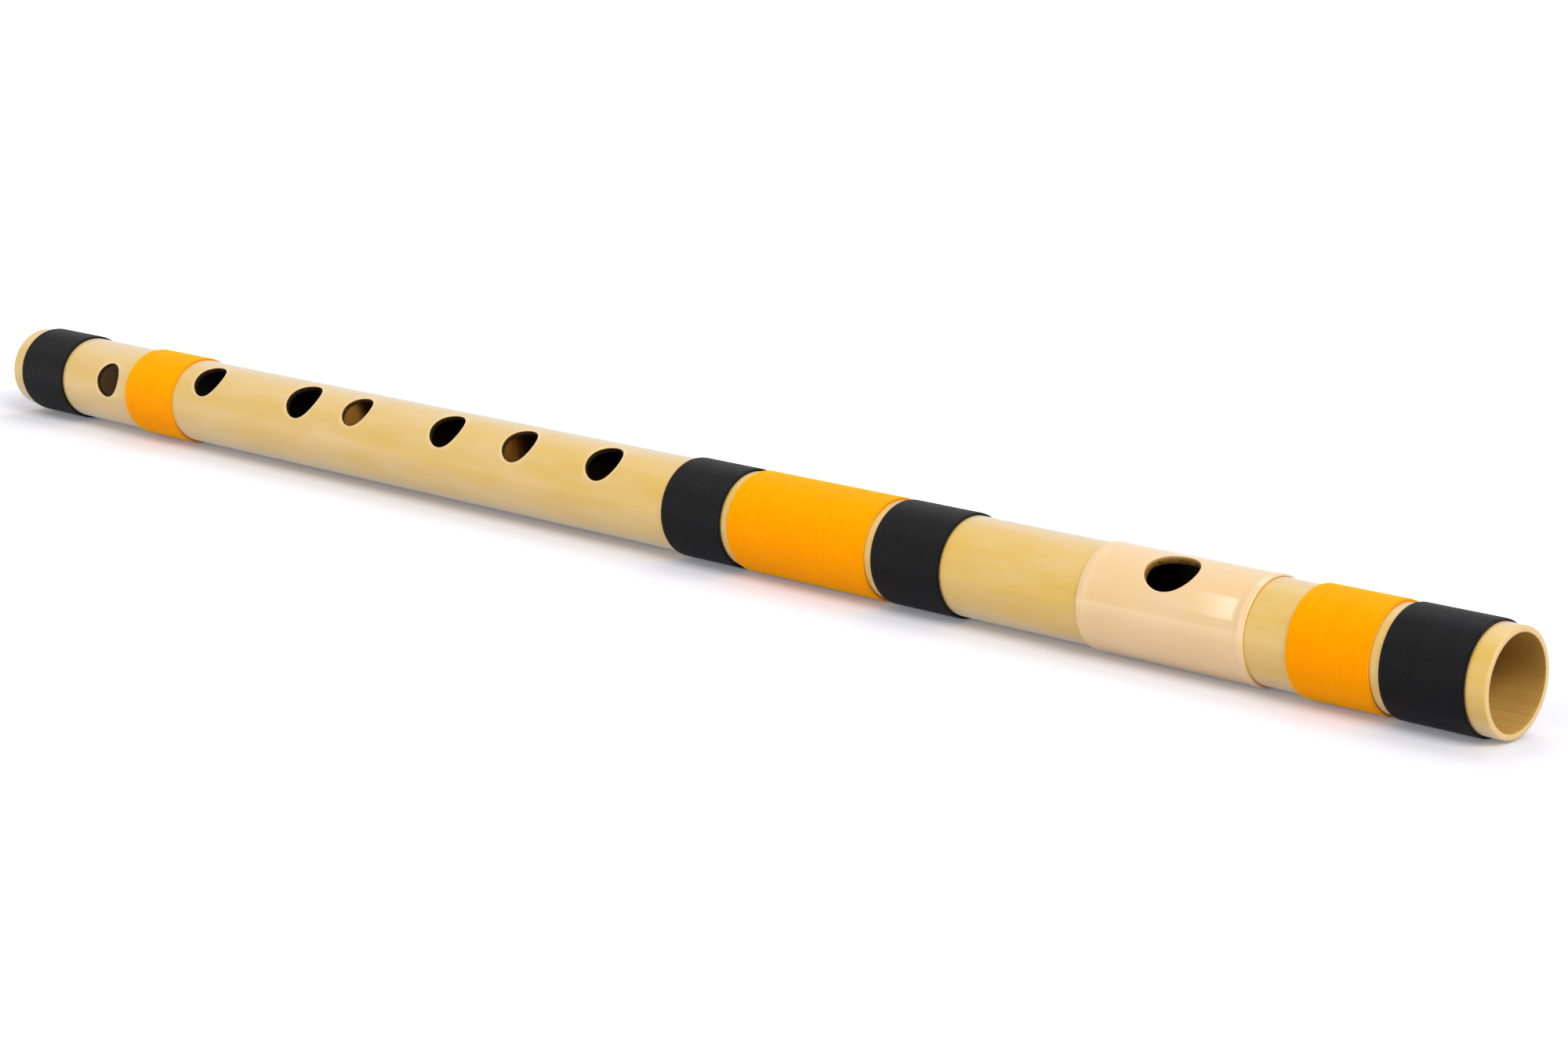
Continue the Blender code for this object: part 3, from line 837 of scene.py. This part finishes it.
# Where each lamp hangs, its size and its power
OVERHEAD_PLACE = Vector((-0.1, 0.7, 1.5))
OVERHEAD_SIZE = 0.9
OVERHEAD_POWER = 9.0
KEY_PLACE = Vector((4.4, -1.45, 4.0))
KEY_SIZE = 3.0
KEY_POWER = 245.0
FRONT_PLACE = Vector((0.1, -1.6, 0.45))
FRONT_SIZE = 1.0
FRONT_POWER = 8.0
GLINT_FROM_HEAD = 61.0 * MM
GLINT_TURN = radians(60)
GLINT_DIRECTION = Vector((-0.5735, -0.605, 0.5505)).normalized()
GLINT_DISTANCE = 1.6
GLINT_WIDTH = 0.014
GLINT_HEIGHT = 0.25
GLINT_STEP = radians(9)
GLINT_POWER = 0.12
GLINT_LAMPS = 5
ALONG_TUBE = Vector((1, 0, 0))


def add_lamp(name, place, target, width, height, power):
    """A lamp at a place that faces a target, with its width along the tube."""
    light = bpy.data.lights.new(name, "AREA")
    light.shape = "RECTANGLE"
    light.size = width
    light.size_y = height
    light.energy = power
    lamp = bpy.data.objects.new(name, light)
    backwards = (place - target).normalized()
    upwards = backwards.cross(ALONG_TUBE).normalized()
    turned_to_target = Matrix((upwards.cross(backwards), upwards, backwards)).transposed().to_4x4()
    lamp.matrix_world = Matrix.Translation(place) @ turned_to_target
    bpy.context.scene.collection.objects.link(lamp)


add_lamp("overhead_lamp", OVERHEAD_PLACE, AXIS, OVERHEAD_SIZE, OVERHEAD_SIZE, OVERHEAD_POWER)
add_lamp("key_lamp", KEY_PLACE, tube_high, KEY_SIZE, KEY_SIZE, KEY_POWER)
add_lamp("front_lamp", FRONT_PLACE, AXIS, FRONT_SIZE, FRONT_SIZE, FRONT_POWER)
glint_x = from_head(GLINT_FROM_HEAD)
glint = AXIS + on_skin(glint_x, GLINT_TURN, lip_outside(glint_x))
for number in range(GLINT_LAMPS):
    round_flute = Matrix.Rotation((number - GLINT_LAMPS // 2) * GLINT_STEP, 3, "X")
    glint_place = glint + round_flute @ GLINT_DIRECTION * GLINT_DISTANCE
    add_lamp(f"glint_lamp_{number + 1}", glint_place, glint, GLINT_WIDTH, GLINT_HEIGHT, GLINT_POWER)

# The camera stands in front of the head end, a little above the flute, and looks along it towards the foot
CAMERA_FROM_HEAD_RIM = Vector((0.34885, -0.56792, 0.18162))
CAMERA_TILT = radians(77.043)
CAMERA_TURN = radians(43.736)
CAMERA_LENS = 81.0
CAMERA_NEAREST = 0.01
SENSOR_WIDTH = 36.0
camera = bpy.data.cameras.new("camera")
camera.lens = CAMERA_LENS
camera.sensor_width = SENSOR_WIDTH
camera.clip_start = CAMERA_NEAREST
viewpoint = bpy.data.objects.new("camera", camera)
viewpoint.location = AXIS + Vector((head, 0, 0)) + CAMERA_FROM_HEAD_RIM
viewpoint.rotation_euler = (CAMERA_TILT, 0, CAMERA_TURN)
bpy.context.scene.collection.objects.link(viewpoint)
bpy.context.scene.camera = viewpoint
bpy.context.scene.view_settings.view_transform = "Standard"
